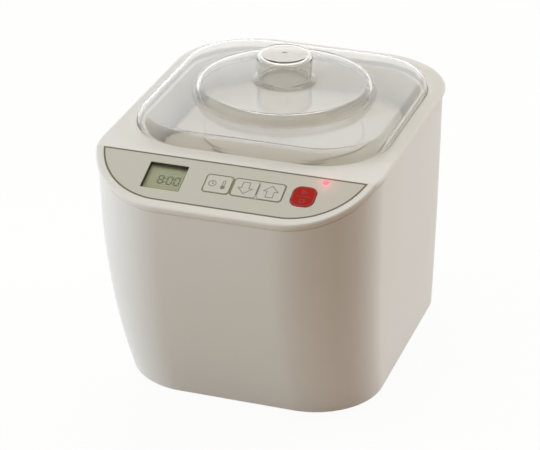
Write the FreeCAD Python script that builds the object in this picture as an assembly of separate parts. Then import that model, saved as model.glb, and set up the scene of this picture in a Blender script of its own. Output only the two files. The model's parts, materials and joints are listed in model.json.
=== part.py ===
"""Counter-top yogurt maker: moulded housing, sloped key panel, heated chamber, container and clear lid.

Millimetres. +Z up, front of the machine towards -Y, origin on the table under the middle of the machine.
"""
import FreeCAD
import Part
import math
import os

from FreeCAD import Placement, Rotation, Vector

os.makedirs("parts", exist_ok=True)

# Housing: overall sizes
lip_width = 250.0
lip_depth = 326.0
lip_corner_radius = 75.0
rim_height = 229.0
foot_lift = 2.0
side_taper = 11.0
front_taper = 56.0
back_taper = 3.0
base_front_radius = 62.0
base_back_radius = 50.0
side_bow = 2.0
body_wall = 2.6
bottom_round = 3.0
wall_levels = 6
edge_tolerance = 1e-4

# Top cover
cover_plate = 3.0
lip_overhang = 2.3
lip_thickness = 2.8
rim_round = 2.2
skirt_depth = 6.2
skirt_wall = 1.3
skirt_clearance = 0.25
seam_gap = 0.4
fold_round = 3.0
side_rim_width = 12.5
back_rim_width = 25.0
front_rim_width = 17.0
lid_corner_radius = 61.0
seat_depth = 3.0
seat_ledge = 7.0
collar_wall = 2.4
collar_depth = 11.0
flange_boss_radius = 3.5

# Control panel, measured down the slope from the fold line
panel_fold = 55.0
panel_slope = 21.5
panel_margin = 7.4
panel_corner_radius = 65.0
panel_back_gap = 0.8
overlay_thickness = 0.5
overlay_clearance = 0.15
hole_reach = 12.0
row_centre = 24.5
screen_width = 34.0
screen_height = 29.0
screen_inset = 72.6
screen_round = 1.0
key_width = 20.4
mode_key_width = 21.6
key_height = 18.2
key_gap = 2.6
arrow_gap = 1.6
key_round = 2.5
mode_key_left = -16.6
start_key_width = 20.0
start_key_height = 22.0
start_key_round = 7.0
start_key_gap = 7.6
led_diameter = 5.0
led_inset = 44.0
led_drop = 5.6
key_clearance = 0.35
key_stand = 0.25
key_flange = 0.9
key_flange_thickness = 1.0
key_travel = 0.5

# Control board and what it carries
board_depth = 12.0
board_thickness = 1.6
board_edge = 2.5
board_back = 4.0
board_front = 41.0
board_boss_radius = 3.0
board_screw_radius = 1.2
board_screw_head = 2.5
board_screw_head_height = 1.8
board_screw_grip = 5.0
screw_clearance = 0.15
board_round = 2.0
component_round = 0.6
boss_edge = 1.0
window_border = 2.0
window_thickness = 1.0
window_gap = 0.3
glass_border = 4.0
glass_thickness = 2.8
switch_size = 6.0
switch_height = 3.4
switch_button_radius = 1.7
switch_button_height = 1.1
stem_play = 0.2
stem_radius = 2.4
chip_size = 12.0
chip_thickness = 1.6
buzzer_radius = 6.0
buzzer_height = 7.0
connector_width = 16.0
connector_height = 8.0

# Heated chamber
liner_wall = 1.5
liner_taper = 8.0
liner_floor = 42.0
liner_flange = 10.0
liner_bottom_round = 10.0
liner_screw_radius = 1.5
liner_screw_head = 3.0
liner_screw_head_height = 2.0
liner_screw_grip = 6.0
sleeve_wall = 4.0
sleeve_clearance = 0.3
sleeve_lift = 20.0
sleeve_drop = 25.0
heater_margin = 26.0
heater_thickness = 1.2
heater_corner_radius = 30.0
heater_bar_width = 14.0
heater_bar_thickness = 2.0
heater_bar_spacing = 84.0
sensor_radius = 5.0
sensor_height = 7.0
sensor_room = 2.5
fuse_radius = 3.0
fuse_length = 14.0
fuse_offset = 34.0
saddle_width = 7.0

# Container and its lid
container_gap = 17.5
container_height = 157.0
container_wall = 2.0
container_taper = 5.0
container_corner_radius = 44.0
container_lip = 3.0
container_lip_height = 4.0
container_bottom_round = 9.0
inner_lid_thickness = 2.0
inner_lid_skirt = 9.0
inner_lid_clearance = 0.5
inner_lid_round = 1.5
inner_lid_step_height = 3.0
inner_lid_step_radius = 70.0
inner_lid_tab_width = 26.0
inner_lid_tab_length = 4.0

# Clear outer lid
lid_clearance = 0.6
lid_rise = 12.0
lid_wall = 2.5
lid_round = 9.0
plateau_radius = 77.0
plateau_rise = 10.7
plateau_round = 4.0
knob_radius = 24.4
knob_height = 24.8
knob_wall = 2.5
knob_base_radius = 27.5
knob_base_height = 3.0
knob_base_edge = 1.0
knob_waist = 0.8
knob_round = 4.5
gate_radius = 2.2
gate_depth = 0.5

# Base, feet and power supply
plate_thickness = 2.5
plate_clearance = 0.4
foot_radius = 8.0
foot_inset = 36.0
foot_recess = 1.0
foot_clearance = 0.3
base_boss_radius = 4.5
base_boss_height = 20.0
base_boss_gap = 1.5
base_screw_radius = 1.6
base_screw_head = 3.2
base_screw_head_height = 1.4
base_screw_grip = 10.0
recess_length = 4.2
recess_width = 0.9
recess_depth = 0.8
vent_length = 46.0
vent_width = 3.0
vent_round = 1.45
vent_pitch = 9.0
vent_rows = 7
supply_width = 92.0
supply_depth = 52.0
supply_post_radius = 3.0
supply_post_height = 7.0
supply_board = 1.6
supply_centre = 62.0
supply_inset = 5.0
supply_screw_grip = 4.6
supply_spacing = 4.0
transformer_width = 34.0
transformer_depth = 30.0
transformer_height = 19.0
coil_width = 23.0
core_depth = 15.0
coil_drop = 3.0
relay_width = 20.0
relay_depth = 16.0
relay_height = 15.0
capacitor_radius = 5.0
capacitor_height = 16.0
inlet_inset = 44.0
inlet_height = 30.0
inlet_width = 24.0
inlet_tall = 16.0
inlet_length = 18.0
inlet_flange = 4.0
inlet_flange_thickness = 2.0
inlet_clearance = 0.2
socket_width = 16.4
socket_tall = 8.6
socket_round = 4.2
socket_depth = 13.0
pin_radius = 1.2
pin_spacing = 8.6
pin_length = 9.0
pin_tail = 6.0

# Values worked out from the sizes above
half_lip = lip_width / 2
half_depth = lip_depth / 2
base_width = lip_width - 2 * side_taper
base_front = half_depth - front_taper
base_back = half_depth - back_taper
slope_angle = math.radians(panel_slope)
fold_y = panel_fold - half_depth
slope_rise = panel_fold * math.tan(slope_angle)
front_top = rim_height - slope_rise
body_half_top = half_lip - lip_overhang
body_end_top = half_depth - lip_overhang
body_radius_top = lip_corner_radius - lip_overhang
body_bottom = foot_lift
above_all = rim_height * 2
far_side = lip_width + lip_depth
open_half = half_lip - side_rim_width
open_front = fold_y + front_rim_width
open_back = half_depth - back_rim_width
open_radius = lid_corner_radius
chamber_half = open_half - seat_ledge
chamber_front = open_front + seat_ledge
chamber_back = open_back - seat_ledge
chamber_radius = open_radius - seat_ledge
chamber_y = (open_front + open_back) / 2
collar_bottom = rim_height - seat_depth - collar_depth
sleeve_bottom = liner_floor + sleeve_lift
sleeve_top = collar_bottom - sleeve_drop
screen_centre = screen_inset - half_lip
led_centre = half_lip - led_inset
board_half_width = led_centre + led_diameter / 2 + board_edge
inlet_side = inlet_inset - base_width / 2
inlet_rise = (inlet_height - body_bottom) / (rim_height - body_bottom)
inlet_wall = base_back + (body_end_top - base_back) * inlet_rise
panel_frame = Placement(Vector(0, fold_y, rim_height), Rotation(Vector(1, 0, 0), panel_slope))


def rounded_outline(half, front, back, front_radius, back_radius, z):
    """Closed wire of a rectangle from y = front to y = back with round corners, at height z."""
    diagonal = math.sqrt(0.5)
    corners = [
        (half - back_radius, back - back_radius, back_radius, 1, 1),
        (back_radius - half, back - back_radius, back_radius, -1, 1),
        (front_radius - half, front + front_radius, front_radius, -1, -1),
        (half - front_radius, front + front_radius, front_radius, 1, -1),
    ]
    arcs = []
    for x, y, radius, side, end in corners:
        along = Vector(x + side * radius, y, z)
        middle = Vector(x + side * radius * diagonal, y + end * radius * diagonal, z)
        across = Vector(x, y + end * radius, z)
        first, last = (along, across) if side * end > 0 else (across, along)
        arcs.append((first, middle, last))
    edges = []
    for index, (first, middle, last) in enumerate(arcs):
        edges.append(Part.Arc(first, middle, last).toShape())
        edges.append(Part.LineSegment(last, arcs[(index + 1) % len(arcs)][0]).toShape())
    return Part.Wire(edges)


def rounded_block(half, front, back, radius, z_low, z_high):
    """Upright block with round corners between two heights."""
    face = Part.Face(rounded_outline(half, front, back, radius, radius, z_low))
    return face.extrude(Vector(0, 0, z_high - z_low))


def rounded_plate(u, v, width, height, radius, w_low, w_high):
    """Rounded rectangle on the panel, centred at u across and v down the slope, w along its normal."""
    block = rounded_block(width / 2, -height / 2, height / 2, radius, w_low, w_high)
    block.translate(Vector(u, -v, 0))
    return on_panel(block)


def on_panel(shape):
    """Place a shape that is drawn in the panel's own axes on the sloped panel."""
    placed = shape.copy()
    placed.Placement = panel_frame.multiply(placed.Placement)
    return placed


def panel_cylinder(u, v, radius, w_low, w_high):
    """Cylinder square to the panel."""
    return on_panel(Part.makeCylinder(radius, w_high - w_low, Vector(u, -v, w_low)))


def post(x, y, radius, z_low, z_high):
    """Upright cylinder between two heights."""
    return Part.makeCylinder(radius, z_high - z_low, Vector(x, y, z_low))


def centred_box(x, y, width, depth, z_low, z_high):
    """Upright box centred at x and y."""
    return Part.makeBox(width, depth, z_high - z_low, Vector(x - width / 2, y - depth / 2, z_low))


def fuse_all(shapes):
    """One solid from several that meet."""
    return shapes[0].multiFuse(shapes[1:]).removeSplitter()


def round_edges(shape, radius, wanted):
    """Fillet the edges of a shape for which the test holds."""
    return shape.makeFillet(radius, [edge for edge in shape.Edges if wanted(edge)])


def lies_at(edge, z):
    """True for an edge that lies flat at height z."""
    box = edge.BoundBox
    return abs(box.ZMin - z) < edge_tolerance and abs(box.ZMax - z) < edge_tolerance


def export(name, shape):
    """Write one named piece of the machine."""
    shape.exportStep("parts/" + name + ".step")


def above_top(drop):
    """Everything above the cover's top surface lowered by a drop: flat rim, rounded fold, sloped panel."""
    reach = fold_round * math.tan(slope_angle / 2)
    level = rim_height - drop
    fold = fold_y + drop * math.tan(slope_angle / 2)
    centre = Vector(0, fold + reach, level - fold_round)
    start = Vector(-far_side, fold + reach, level)
    half_turn = slope_angle / 2
    middle = Vector(-far_side, centre.y - fold_round * math.sin(half_turn),
                    centre.z + fold_round * math.cos(half_turn))
    end = Vector(-far_side, fold - reach * math.cos(slope_angle), level - reach * math.sin(slope_angle))
    run = far_side
    low = Vector(-far_side, end.y - run * math.cos(slope_angle), end.z - run * math.sin(slope_angle))
    back = Vector(-far_side, far_side, level)
    back_high = Vector(-far_side, far_side, above_all)
    low_high = Vector(-far_side, low.y, above_all)
    edges = [
        Part.LineSegment(back, start).toShape(),
        Part.Arc(start, middle, end).toShape(),
        Part.LineSegment(end, low).toShape(),
        Part.LineSegment(low, low_high).toShape(),
        Part.LineSegment(low_high, back_high).toShape(),
        Part.LineSegment(back_high, back).toShape(),
    ]
    return Part.Face(Part.Wire(edges)).extrude(Vector(2 * far_side, 0, 0))


def wall_section(z, inset):
    """Outline of the housing wall at height z, moved inwards by an inset."""
    rise = (z - body_bottom) / (rim_height - body_bottom)
    front_rise = min((z - body_bottom) / (front_top - body_bottom), 1.0)
    half = base_width / 2 + (body_half_top - base_width / 2) * rise + 4 * side_bow * rise * (1 - rise)
    front = base_front + (body_end_top - base_front) * front_rise * (2 - front_rise)
    back = base_back + (body_end_top - base_back) * rise
    corner_rise = rise * (2 - rise)
    front_radius = base_front_radius + (body_radius_top - base_front_radius) * corner_rise
    back_radius = base_back_radius + (body_radius_top - base_back_radius) * corner_rise
    return rounded_outline(half - inset, inset - front, back - inset,
                           front_radius - inset, back_radius - inset, z)


def wall_form(inset, reach):
    """Solid inside the housing wall, from reach below its bottom edge to reach above the rim."""
    bottom = body_bottom - reach
    span = rim_height + reach - bottom
    sections = [wall_section(bottom + span * step / wall_levels, inset) for step in range(wall_levels + 1)]
    return Part.makeLoft(sections, True, False)


# Outer body: tapered moulded shell, open above and below, with a lap joint at the top and four screw bosses
outside = wall_form(0, 0)
outside = round_edges(outside, bottom_round, lambda edge: lies_at(edge, body_bottom))
cavity = wall_form(body_wall, bottom_round)
lap = above_top(skirt_depth + seam_gap).cut(wall_form(skirt_wall + skirt_clearance, bottom_round))
outer_body = outside.cut(cavity).cut(above_top(cover_plate)).cut(lap)
plate_bottom = body_bottom
plate_top = plate_bottom + plate_thickness
boss_places = []
for side in (-1, 1):
    for end, length, radius in ((-1, base_front, base_front_radius), (1, base_back, base_back_radius)):
        reach = radius - body_wall - base_boss_gap - base_boss_radius
        corner_x = base_width / 2 - radius
        corner_y = length - radius
        step = reach * math.sqrt(0.5)
        boss_places.append((side * (corner_x + step), end * (corner_y + step), side, end))
boss_top = plate_top + base_boss_height
for x, y, side, end in boss_places:
    boss = post(x, y, base_boss_radius, plate_top, boss_top)
    rib_length = base_boss_radius + base_boss_gap + body_wall / 2
    rib = Part.makeBox(rib_length, body_wall, base_boss_height, Vector(0, -body_wall / 2, 0))
    rib_turn = Rotation(Vector(0, 0, 1), math.degrees(math.atan2(end, side)))
    rib.Placement = Placement(Vector(x, y, plate_top), rib_turn)
    pilot = post(x, y, base_screw_radius + screw_clearance, plate_top, boss_top)
    outer_body = outer_body.fuse(boss.fuse(rib).cut(pilot))
inlet_hole = centred_box(inlet_side, inlet_wall, inlet_width + 2 * inlet_clearance, 2 * inlet_length,
                         inlet_height - inlet_tall / 2 - inlet_clearance,
                         inlet_height + inlet_tall / 2 + inlet_clearance)
outer_body = outer_body.cut(inlet_hole).removeSplitter()
export("outer_body", outer_body)

# Top cover: thin lip, flush skirt over the body's lap, lid seat with collar, sloped panel with its holes
cover = rounded_block(half_lip, -half_depth, half_depth, lip_corner_radius, body_bottom, rim_height)
cover = cover.cut(above_top(0))
cover = cover.common(above_top(lip_thickness))


def on_rim(edge):
    """True for the outer edge of the cover's top surface."""
    middle = edge.valueAt((edge.FirstParameter + edge.LastParameter) / 2)
    level = rim_height - max(0.0, fold_y - middle.y) * math.tan(slope_angle)
    at_side = abs(abs(middle.x) - half_lip) < lip_overhang / 2
    at_end = abs(abs(middle.y) - half_depth) < lip_overhang / 2
    corner = math.hypot(abs(middle.x) - half_lip + lip_corner_radius,
                        abs(middle.y) - half_depth + lip_corner_radius)
    at_corner = abs(corner - lip_corner_radius) < lip_overhang / 2
    return (at_side or at_end or at_corner) and middle.z > level - lip_thickness / 2


cover = round_edges(cover, rim_round, on_rim)
skirt = wall_form(0, 0).common(above_top(skirt_depth)).cut(above_top(lip_thickness / 2))
hollow = wall_form(skirt_wall, bottom_round).cut(above_top(cover_plate))
cover = cover.fuse(skirt).cut(hollow)
seat = rim_height - seat_depth
seat_underside = seat - cover_plate
seat_block = rounded_block(open_half + collar_wall, open_front - collar_wall, open_back + collar_wall,
                           open_radius + collar_wall, seat_underside, rim_height - cover_plate / 2)
collar = rounded_block(chamber_half + collar_wall, chamber_front - collar_wall, chamber_back + collar_wall,
                       chamber_radius + collar_wall, collar_bottom, seat)
flange_places = []
for side in (-1, 1):
    for y_corner, end in ((chamber_front + chamber_radius, -1), (chamber_back - chamber_radius, 1)):
        reach = (chamber_radius + liner_flange / 2 + collar_wall / 2) * math.sqrt(0.5)
        flange_places.append((side * (chamber_half - chamber_radius + reach), y_corner + end * reach))
flange_bosses = [post(x, y, flange_boss_radius, collar_bottom, seat) for x, y in flange_places]
cover = fuse_all([cover, seat_block, collar] + flange_bosses)
cover = cover.cut(rounded_block(open_half, open_front, open_back, open_radius, seat, above_all))
cover = cover.cut(rounded_block(chamber_half, chamber_front, chamber_back, chamber_radius, 0, above_all))
screw_room = liner_screw_radius + screw_clearance
for x, y in flange_places:
    cover = cover.cut(post(x, y, screw_room, collar_bottom, collar_bottom + liner_screw_grip))

# Panel layout: centre across, width, height and corner of each key
down_key_left = mode_key_left + mode_key_width + key_gap
up_key_left = down_key_left + key_width + arrow_gap
start_key_left = up_key_left + key_width + start_key_gap
start_key_centre = start_key_left + start_key_width / 2
keys = {
    "mode_key": (mode_key_left + mode_key_width / 2, mode_key_width, key_height, key_round),
    "down_key": (down_key_left + key_width / 2, key_width, key_height, key_round),
    "up_key": (up_key_left + key_width / 2, key_width, key_height, key_round),
    "start_stop_key": (start_key_centre, start_key_width, start_key_height, start_key_round),
}
boss_inset = board_boss_radius + boss_edge
boss_spots = [
    (boss_inset - board_half_width, board_back + boss_inset),
    (boss_inset - board_half_width, board_front - boss_inset),
    (start_key_left - start_key_gap / 2, board_back + board_boss_radius),
    (start_key_left - start_key_gap / 2, board_front - board_boss_radius),
]


def panel_sheet(margin, w_low, w_high):
    """Slice of the panel's outline between two depths, square to the panel."""
    plan = rounded_block(half_lip - margin, margin - half_depth, half_depth - margin,
                         panel_corner_radius, 0, above_all)
    length = far_side
    slab = Part.makeBox(2 * far_side, length, w_high - w_low,
                        Vector(-far_side, -length - panel_back_gap, w_low))
    return plan.common(on_panel(slab))


overlay = panel_sheet(panel_margin, -overlay_thickness, 0)
cover = cover.cut(panel_sheet(panel_margin - overlay_clearance, -overlay_thickness, hole_reach))
screen_hole = rounded_plate(screen_centre, row_centre, screen_width, screen_height, screen_round,
                            -hole_reach, hole_reach)
led_hole = panel_cylinder(led_centre, led_drop, led_diameter / 2 + key_clearance, -hole_reach, hole_reach)
openings = [screen_hole, led_hole]
for centre, width, height, corner in keys.values():
    openings.append(rounded_plate(centre, row_centre, width + 2 * key_clearance, height + 2 * key_clearance,
                                  corner + key_clearance, -hole_reach, hole_reach))
for hole in openings:
    overlay = overlay.cut(hole)
    cover = cover.cut(hole)
for u, v in boss_spots:
    boss = panel_cylinder(u, v, board_boss_radius, -board_depth, -cover_plate / 2 - overlay_thickness)
    pilot = panel_cylinder(u, v, board_screw_radius + screw_clearance, -board_depth, -cover_plate)
    cover = cover.fuse(boss).cut(pilot)
export("top_cover", cover.removeSplitter())
export("panel_overlay", overlay)

# Screen: clear window glued under the cover, display glass and its holder on the board
window_low = -cover_plate - window_thickness
window_width = screen_width + 2 * window_border
window_height = screen_height + 2 * window_border
export("screen_window", rounded_plate(screen_centre, row_centre, window_width, window_height, screen_round,
                                      window_low, -cover_plate))
glass_high = window_low - window_gap
glass_low = glass_high - glass_thickness
glass_width = screen_width + 2 * glass_border
glass_height = screen_height + 2 * glass_border - 2 * window_border
export("display_glass", rounded_plate(screen_centre, row_centre, glass_width, glass_height, screen_round,
                                      glass_low, glass_high))
holder = rounded_plate(screen_centre, row_centre, glass_width, glass_height, screen_round,
                       -board_depth, glass_low)
room_height = glass_height - 2 * glass_border
holder_room = rounded_plate(screen_centre, row_centre, screen_width, room_height, screen_round,
                            -board_depth, glass_low)
export("display_holder", holder.cut(holder_room))

# Control board under the panel with its switches, lamp, chip, buzzer and lead socket
board_middle = (board_back + board_front) / 2
board_low = -board_depth - board_thickness
board_height = board_front - board_back
board = rounded_plate(0, board_middle, 2 * board_half_width, board_height, board_round,
                      board_low, -board_depth)
screws = []
for u, v in boss_spots:
    hole = panel_cylinder(u, v, board_screw_radius + screw_clearance, board_low, -board_depth)
    board = board.cut(hole)
    shank = panel_cylinder(u, v, board_screw_radius, board_low, board_screw_grip - board_depth)
    head = panel_cylinder(u, v, board_screw_head, board_low - board_screw_head_height, board_low)
    screws.append(head.fuse(shank))
export("control_board", board)
export("board_screws", Part.makeCompound(screws))
switch_top = -board_depth + switch_height
switches = []
button_top = switch_top + switch_button_height
stem_low = button_top + key_travel + stem_play
for centre, width, height, corner in keys.values():
    case = rounded_plate(centre, row_centre, switch_size, switch_size, component_round,
                         -board_depth, switch_top)
    button = panel_cylinder(centre, row_centre, switch_button_radius, switch_top, button_top)
    switches.append(case.fuse(button))
export("key_switches", Part.makeCompound(switches))
lamp = panel_cylinder(led_centre, led_drop, led_diameter / 2, -board_depth, 0)
dome = on_panel(Part.makeSphere(led_diameter / 2, Vector(led_centre, -led_drop, -led_diameter / 4)))
export("status_lamp", lamp.fuse(dome).removeSplitter())
chip_u = (screen_centre + mode_key_left) / 2
export("controller_chip", rounded_plate(chip_u, board_middle, chip_size, chip_size, component_round,
                                        board_low - chip_thickness, board_low))
buzzer_u = down_key_left + key_width
export("buzzer", panel_cylinder(buzzer_u, board_middle, buzzer_radius, board_low - buzzer_height, board_low))
export("lead_socket", rounded_plate(start_key_centre, board_middle, connector_width, connector_height,
                                    component_round, board_low - connector_height, board_low))

# Keys: a cap in the panel, a flange that keeps it under the cover, and a stem over its switch
flange_high = -cover_plate - key_clearance
for name, (centre, width, height, corner) in keys.items():
    cap = rounded_plate(centre, row_centre, width, height, corner, flange_high, key_stand)
    flange = rounded_plate(centre, row_centre, width - 2 * corner, height + 2 * key_flange, key_flange,
                           flange_high - key_flange_thickness, flange_high)
    stem = panel_cylinder(centre, row_centre, stem_radius, stem_low, flange_high)
    export(name, fuse_all([cap, flange, stem]))


def tub(half, front, back, radius, taper, z_low, z_high):
    """Tapered tub form that narrows by the taper on each side towards its floor."""
    top = rounded_outline(half, front, back, radius, radius, z_high)
    corner = radius - taper
    bottom = rounded_outline(half - taper, front + taper, back - taper, corner, corner, z_low)
    return Part.makeLoft([bottom, top], True, True)


# Chamber liner: drawn tub that hangs from the cover by its flange
liner_under = liner_floor - liner_wall
inside = tub(chamber_half, chamber_front, chamber_back, chamber_radius, liner_taper,
             liner_floor, collar_bottom)
inside = round_edges(inside, liner_bottom_round - liner_wall, lambda edge: lies_at(edge, liner_floor))
shell = tub(chamber_half + liner_wall, chamber_front - liner_wall, chamber_back + liner_wall,
            chamber_radius + liner_wall, liner_taper, liner_under, collar_bottom)
shell = round_edges(shell, liner_bottom_round, lambda edge: lies_at(edge, liner_under))
flange = rounded_block(chamber_half + liner_flange, chamber_front - liner_flange,
                       chamber_back + liner_flange, chamber_radius + liner_flange,
                       collar_bottom - liner_wall, collar_bottom)
liner = shell.fuse(flange).cut(inside).removeSplitter()
flange_under = collar_bottom - liner_wall
liner_screws = []
for x, y in flange_places:
    liner = liner.cut(post(x, y, screw_room, flange_under, collar_bottom))
    shank = post(x, y, liner_screw_radius, flange_under, collar_bottom + liner_screw_grip - screw_clearance)
    head = post(x, y, liner_screw_head, flange_under - liner_screw_head_height, flange_under)
    liner_screws.append(head.fuse(shank))
export("chamber_liner", liner)
export("liner_screws", Part.makeCompound(liner_screws))

# Insulation sleeve: felt wrapped round the liner's wall
liner_span = collar_bottom - liner_floor


def sleeve_form(gap):
    """Tapered form that follows the liner's wall at a gap, over the height of the sleeve."""
    wires = []
    for z in (sleeve_bottom, sleeve_top):
        shift = liner_wall + gap - liner_taper * (collar_bottom - z) / liner_span
        wires.append(rounded_outline(chamber_half + shift, chamber_front - shift, chamber_back + shift,
                                     chamber_radius + shift, chamber_radius + shift, z))
    return Part.makeLoft(wires, True, True)


export("insulation_sleeve", sleeve_form(sleeve_clearance + sleeve_wall).cut(sleeve_form(sleeve_clearance)))

# Heater under the liner's floor: heating mat, two clamping bars, sensor and thermal fuse
heater_low = liner_under - heater_thickness
heater_half = chamber_half - liner_taper - heater_margin
heater_front = chamber_front + liner_taper + heater_margin
heater_back = chamber_back - liner_taper - heater_margin
heater = rounded_block(heater_half, heater_front, heater_back, heater_corner_radius, heater_low, liner_under)
sensor_hole = post(0, chamber_y, sensor_radius + sensor_room, heater_low, liner_under)
export("heating_mat", heater.cut(sensor_hole))
bar_low = heater_low - heater_bar_thickness
bar_length = heater_back - heater_front
bars = []
for side in (-1, 1):
    bars.append(centred_box(side * heater_bar_spacing / 2, chamber_y, heater_bar_width, bar_length,
                            bar_low, heater_low))
export("heater_bars", Part.makeCompound(bars))
export("temperature_sensor", post(0, chamber_y, sensor_radius, liner_under - sensor_height, liner_under))
fuse_y = chamber_y - fuse_offset
fuse_end = Vector(-fuse_length / 2, fuse_y, heater_low - fuse_radius)
fuse = Part.makeCylinder(fuse_radius, fuse_length, fuse_end, Vector(1, 0, 0))
saddle = centred_box(0, fuse_y, saddle_width, 2 * fuse_radius, heater_low - fuse_radius, heater_low)
export("thermal_fuse", fuse.fuse(saddle))

# Base plate: vented cover with posts for the power board, feet and screws
plate_outline = wall_section(plate_bottom, body_wall + plate_clearance)
plate = Part.Face(plate_outline).extrude(Vector(0, 0, plate_thickness))
foot_x = base_width / 2 - foot_inset
foot_rows = (foot_inset - base_front, base_back - foot_inset)
foot_places = [(side * foot_x, y) for side in (-1, 1) for y in foot_rows]
supply_low = plate_top + supply_post_height
supply_spots = []
for side in (-1, 1):
    for end in (-1, 1):
        supply_spots.append((side * (supply_width / 2 - supply_inset),
                             supply_centre + end * (supply_depth / 2 - supply_inset)))
for x, y in supply_spots:
    plate = plate.fuse(post(x, y, supply_post_radius, plate_top, supply_low))
    plate = plate.cut(post(x, y, board_screw_radius + screw_clearance, plate_top, supply_low))
for x, y in foot_places:
    plate = plate.cut(post(x, y, foot_radius + foot_clearance, plate_bottom, plate_bottom + foot_recess))
head_room = base_screw_head + foot_clearance
base_screws = []
for x, y, side, end in boss_places:
    plate = plate.cut(post(x, y, base_screw_radius + screw_clearance, plate_bottom, plate_top))
    plate = plate.cut(post(x, y, head_room, plate_bottom, plate_bottom + base_screw_head_height))
    shank = post(x, y, base_screw_radius, plate_bottom, plate_top + base_screw_grip)
    head = post(x, y, base_screw_head, plate_bottom, plate_bottom + base_screw_head_height)
    recess_top = plate_bottom + recess_depth
    slot = centred_box(x, y, recess_length, recess_width, plate_bottom, recess_top)
    cross_slot = centred_box(x, y, recess_width, recess_length, plate_bottom, recess_top)
    base_screws.append(head.fuse(shank).cut(slot).cut(cross_slot))
vent_y = supply_centre - supply_depth / 2 - vent_pitch * vent_rows
for row in range(vent_rows):
    slot_y = vent_y + row * vent_pitch
    slot = rounded_block(vent_length / 2, slot_y - vent_width / 2, slot_y + vent_width / 2,
                         vent_round, plate_bottom, plate_top)
    plate = plate.cut(slot)
export("base_plate", plate.removeSplitter())
export("base_screws", Part.makeCompound(base_screws))
feet = []
for x, y in foot_places:
    foot = post(x, y, foot_radius, 0, plate_bottom + foot_recess)
    feet.append(round_edges(foot, foot_lift / 2, lambda edge: lies_at(edge, 0)))
export("rubber_feet", Part.makeCompound(feet))

# Power board on the base plate with transformer, relay and capacitors
supply_top = supply_low + supply_board
supply = rounded_block(supply_width / 2, supply_centre - supply_depth / 2, supply_centre + supply_depth / 2,
                       board_round, supply_low, supply_top)
supply_screws = []
for x, y in supply_spots:
    supply = supply.cut(post(x, y, board_screw_radius + screw_clearance, supply_low, supply_top))
    shank = post(x, y, board_screw_radius, supply_low - supply_screw_grip, supply_top)
    head = post(x, y, board_screw_head, supply_top, supply_top + board_screw_head_height)
    supply_screws.append(head.fuse(shank))
export("power_board", supply)
export("power_board_screws", Part.makeCompound(supply_screws))
core = centred_box(0, supply_centre, transformer_width, core_depth,
                   supply_top, supply_top + transformer_height)
coil = centred_box(0, supply_centre, coil_width, transformer_depth,
                   supply_top, supply_top + transformer_height - coil_drop)
export("transformer", core.fuse(coil).removeSplitter())
relay_x = transformer_width / 2 + supply_spacing + relay_width / 2
export("relay", centred_box(relay_x, supply_centre, relay_width, relay_depth,
                            supply_top, supply_top + relay_height))
capacitors = []
for end in (-1, 1):
    can = post(-transformer_width / 2 - supply_spacing - capacitor_radius,
               supply_centre + end * (capacitor_radius + supply_spacing / 2), capacitor_radius,
               supply_top, supply_top + capacitor_height)
    capacitors.append(can)
export("capacitors", Part.makeCompound(capacitors))

# Power inlet: two-pin socket let into the back wall, with its flange outside
tilt_room = abs(body_end_top - base_back) * (inlet_tall + 2 * inlet_flange) / rim_height + inlet_clearance
flange_low = inlet_wall + tilt_room
inlet_left = inlet_side - inlet_width / 2
inlet_low = inlet_height - inlet_tall / 2
inlet = Part.makeBox(inlet_width, inlet_length, inlet_tall,
                     Vector(inlet_left, flange_low - inlet_length, inlet_low))
rim = Part.makeBox(inlet_width + 2 * inlet_flange, inlet_flange_thickness, inlet_tall + 2 * inlet_flange,
                   Vector(inlet_left - inlet_flange, flange_low, inlet_low - inlet_flange))
rim = round_edges(rim, inlet_flange / 2, lambda edge: edge.BoundBox.YLength > inlet_flange_thickness / 2)
inlet_face = flange_low + inlet_flange_thickness
socket = rounded_block(socket_width / 2, -socket_tall / 2, socket_tall / 2, socket_round, 0, socket_depth)
socket.Placement = Placement(Vector(inlet_side, inlet_face, inlet_height), Rotation(Vector(1, 0, 0), 90))
inlet = inlet.fuse(rim).cut(socket)
socket_floor = inlet_face - socket_depth
pins = []
for side in (-1, 1):
    x = inlet_side + side * pin_spacing / 2
    tail_end = flange_low - inlet_length - pin_tail
    pin = Part.makeCylinder(pin_radius, socket_floor + pin_length - tail_end,
                            Vector(x, tail_end, inlet_height), Vector(0, 1, 0))
    inlet = inlet.cut(pin)
    pins.append(pin)
export("power_inlet", inlet.removeSplitter())
export("inlet_pins", Part.makeCompound(pins))

# Inner container: tapered tub with a turned-out lip, standing on the liner's floor
container_top = liner_floor + container_height
container_half = chamber_half - container_gap
container_front = chamber_front + container_gap
container_back = chamber_back - container_gap
box_outside = tub(container_half, container_front, container_back, container_corner_radius,
                  container_taper, liner_floor, container_top)
box_outside = round_edges(box_outside, container_bottom_round, lambda edge: lies_at(edge, liner_floor))
box_floor = liner_floor + container_wall
box_inside = tub(container_half - container_wall, container_front + container_wall,
                 container_back - container_wall, container_corner_radius - container_wall,
                 container_taper, box_floor, container_top)
box_inside = round_edges(box_inside, container_bottom_round - container_wall,
                         lambda edge: lies_at(edge, box_floor))
lip = rounded_block(container_half + container_lip, container_front - container_lip,
                    container_back + container_lip, container_corner_radius + container_lip,
                    container_top - container_lip_height, container_top)
export("inner_container", box_outside.fuse(lip).cut(box_inside).removeSplitter())

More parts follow.
